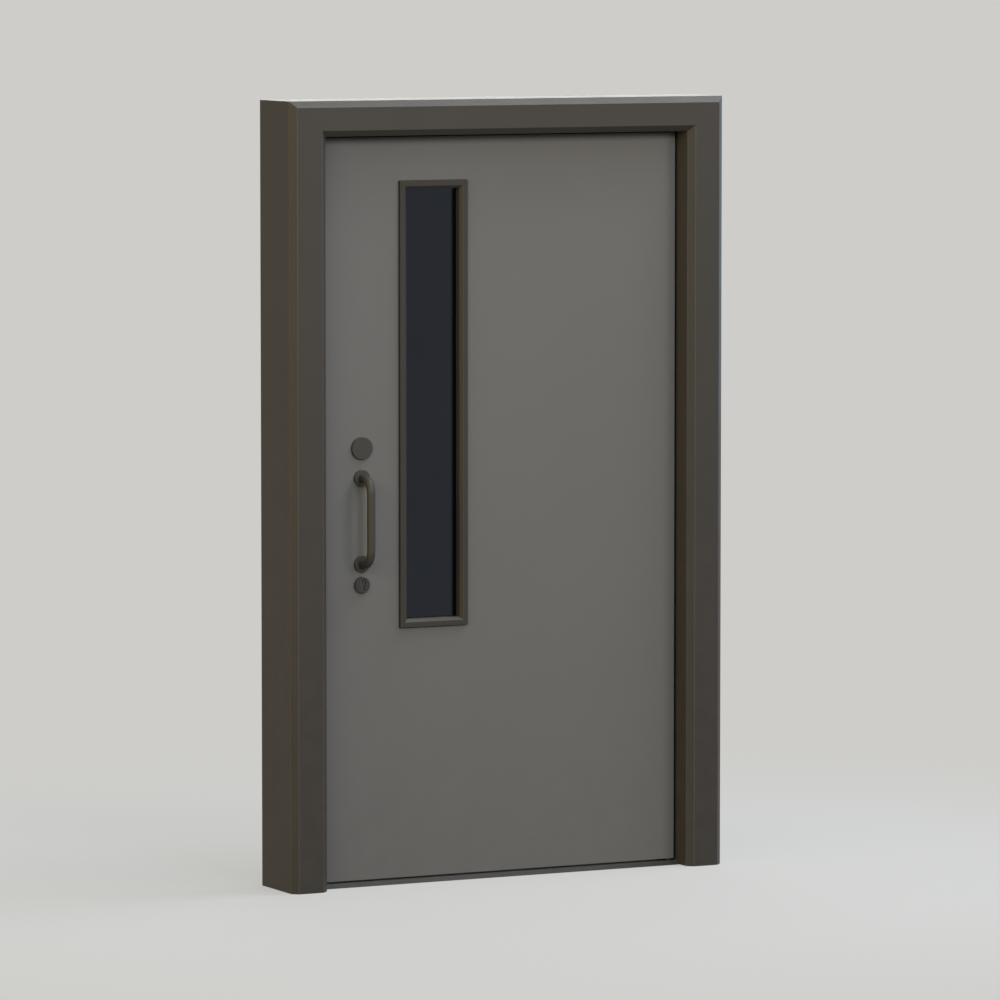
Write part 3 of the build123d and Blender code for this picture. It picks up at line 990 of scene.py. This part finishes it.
@dataclass
class Pivots:
    """The corner pivots: plates on the frame with their pins, and the bored shoes in the leaf."""

    screw_inset: float = 9 * MM
    screw_pitch: float = 15 * MM
    plate_thickness: float = 4 * MM
    arris: float = 0.4 * MM

    def build(self, screws: bpy.types.NodeTree) -> None:
        """Builds both pivots and the screws in their plates.

        Args:
            screws: The tree that sets screws.
        """
        for place, up in (("bottom", 1), ("top", -1)):
            shoe = f"pivot_shoe_{place}"
            EasedPiece(shoe, STEEL, Slot.STEEL, Body.LEAF, 0.0).build()
            node = f"pivot_base_{place}"
            EasedPiece(node, DARK_STEEL, Slot.STEEL, Body.FRAME, self.arris).build()
            low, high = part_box(node)
            back_z = low.z if up > 0 else high.z
            middle_y = (low.y + high.y) / 2
            starts = [low.x + self.screw_inset + n * self.screw_pitch for n in range(2)]
            points = [Vector((x, middle_y, back_z + up * self.plate_thickness)) for x in starts]
            ScrewSet(f"{node}_screws", Body.FRAME, points, Vector((0, 0, up))).build(screws)


@dataclass
class Lamp:
    """One soft rectangular lamp, placed by its bearing from the front of the door.

    Bearing and rise are in degrees, distance, width and height in metres, and power in watts.
    """

    name: str
    bearing: float
    rise: float
    distance: float
    width: float
    height: float
    power: float
    colour: tuple[float, float, float]

    def hang(self, target: Vector) -> None:
        """Hangs the lamp and turns it to the target.

        Args:
            target: The point that it lights.
        """
        data = bpy.data.lights.new(self.name, "AREA")
        data.shape = "RECTANGLE"
        data.size = self.width
        data.size_y = self.height
        data.energy = self.power
        data.color = self.colour
        lamp = linked(self.name, data)
        away = heading(self.bearing, self.rise)
        lamp.location = target + away * self.distance
        lamp.rotation_euler = away.to_track_quat("Z", "Y").to_euler()
        lamp.visible_camera = False


@dataclass
class Studio:
    """A plain pale floor under soft lamps, and the camera at the photograph's angle."""

    target: Vector = field(default_factory=lambda: Vector((-0.0360, -0.102, 1.0564)))
    bearing: float = -26.81
    rise: float = 4.91
    distance: float = 18.868
    focal_length: float = 246.6
    sensor: float = 36.0
    floor_radius: float = 400.0
    floor_steps: int = 96
    pale: Colour = tone(206, 205, 202)
    floor_colour: Colour = tone(118, 118, 118)
    shaded: float = 0.3
    bounce_colour: Colour = tone(70, 69, 68)
    ambient: Colour = (0.07, 0.07, 0.07, 1.0)
    fade_start: float = 1.2
    fade_end: float = 3.2
    lamps: tuple[Lamp, ...] = (
        Lamp("key", 0, 22, 12, 2.7, 2.7, 445, (0.70, 0.82, 1.0)),
        Lamp("right_fill", 30, 20, 12, 4.0, 4.0, 310, (1.0, 0.85, 0.74)),
        Lamp("warm_front", -47, 20, 10, 6.0, 3.5, 310, (1.0, 0.94, 0.68)),
        Lamp("warm_side", -79, 8, 10, 2.0, 4.0, 235, (1.0, 0.75, 0.28)),
        Lamp("cool_rim", 118, 8, 10, 5.0, 4.0, 85, (0.25, 0.65, 1.0)),
        Lamp("sky", 10, 62, 9, 6.0, 5.0, 250, (0.80, 0.88, 1.0)),
        Lamp("high", 79, 60, 8, 3.5, 3.5, 520, (0.84, 0.95, 1.0)),
        Lamp("back_fill", 158, 24, 12, 8.0, 5.0, 480, (1.0, 0.98, 0.95)),
    )

    def seen(self, graph: Graph) -> Socket:
        """Returns 1 for the rays that show the background: straight, mirrored or through the glass."""
        path = graph.add("ShaderNodeLightPath")
        mirrored = graph.math("MAXIMUM", path.outputs["Is Camera Ray"], path.outputs["Is Glossy Ray"])
        return graph.math("MAXIMUM", mirrored, path.outputs["Is Transmission Ray"])

    def light_world(self) -> None:
        """Sets an even dim world that shows as the pale background."""
        world = bpy.data.worlds.new("studio")
        world.use_nodes = True
        graph = Graph(world.node_tree)
        shown = graph.mix(self.seen(graph), self.ambient, self.pale)
        sky = graph.add("ShaderNodeBackground", {"Color": shown}).outputs[0]
        graph.add("ShaderNodeOutputWorld", {"Surface": sky})
        bpy.context.scene.world = world

    def lay_floor(self) -> None:
        """Lays a round pale floor that keeps shadows near the door and fades out to the background."""
        mesh = bpy.data.meshes.new("floor")
        shape = bmesh.new()
        bmesh.ops.create_circle(shape, cap_ends=True, segments=self.floor_steps, radius=self.floor_radius)
        shape.to_mesh(mesh)
        shape.free()
        floor = linked("floor", mesh)
        made = bpy.data.materials.new("pale_floor")
        made.use_nodes = True
        graph = Graph(made.node_tree)
        spread = graph.add("ShaderNodeVectorMath", {0: graph.place()}, operation="LENGTH").outputs["Value"]
        far = graph.span(spread, self.fade_start, self.fade_end)
        even = graph.add("ShaderNodeEmission", {"Color": self.pale, "Strength": 1 - self.shaded}).outputs[0]
        lit = graph.add("ShaderNodeBsdfDiffuse", {"Color": self.floor_colour}).outputs[0]
        near_coat = graph.add("ShaderNodeAddShader", {0: even, 1: lit}).outputs[0]
        far_coat = graph.add("ShaderNodeEmission", {"Color": self.pale}).outputs[0]
        shown = graph.add("ShaderNodeMixShader", {0: far, 1: near_coat, 2: far_coat}).outputs[0]
        bounce = graph.add("ShaderNodeBsdfDiffuse", {"Color": self.bounce_colour}).outputs[0]
        graph.show(graph.add("ShaderNodeMixShader", {0: self.seen(graph), 1: bounce, 2: shown}).outputs[0])
        mesh.materials.append(made)

    def aim_camera(self) -> None:
        """Puts the camera at the photograph's viewing angle and framing."""
        data = bpy.data.cameras.new("camera")
        data.sensor_width = self.sensor
        data.lens = self.focal_length
        data.clip_end = 4 * self.floor_radius
        camera = linked("camera", data)
        away = heading(self.bearing, self.rise)
        camera.location = self.target + away * self.distance
        camera.rotation_euler = away.to_track_quat("Z", "Y").to_euler()
        bpy.context.scene.camera = camera

    def build(self) -> None:
        """Sets up the view, the floor, the world and the lamps."""
        bpy.context.scene.view_settings.view_transform = "Standard"
        self.aim_camera()
        self.light_world()
        self.lay_floor()
        for lamp in self.lamps:
            lamp.hang(self.target)


def main() -> None:
    """Builds the studio and every dressed piece, in order."""
    logging.basicConfig(level=logging.INFO, format="%(message)s")
    Studio().build()
    screws = screw_tree()
    Surround().build()
    FixingPlugs().build()
    EdgeSeals().build()
    Leaf().build()
    VisionPanel().build()
    PullHandles().build()
    Lock().build(screws)
    Pivots().build(screws)


if __name__ == "__main__":
    main()
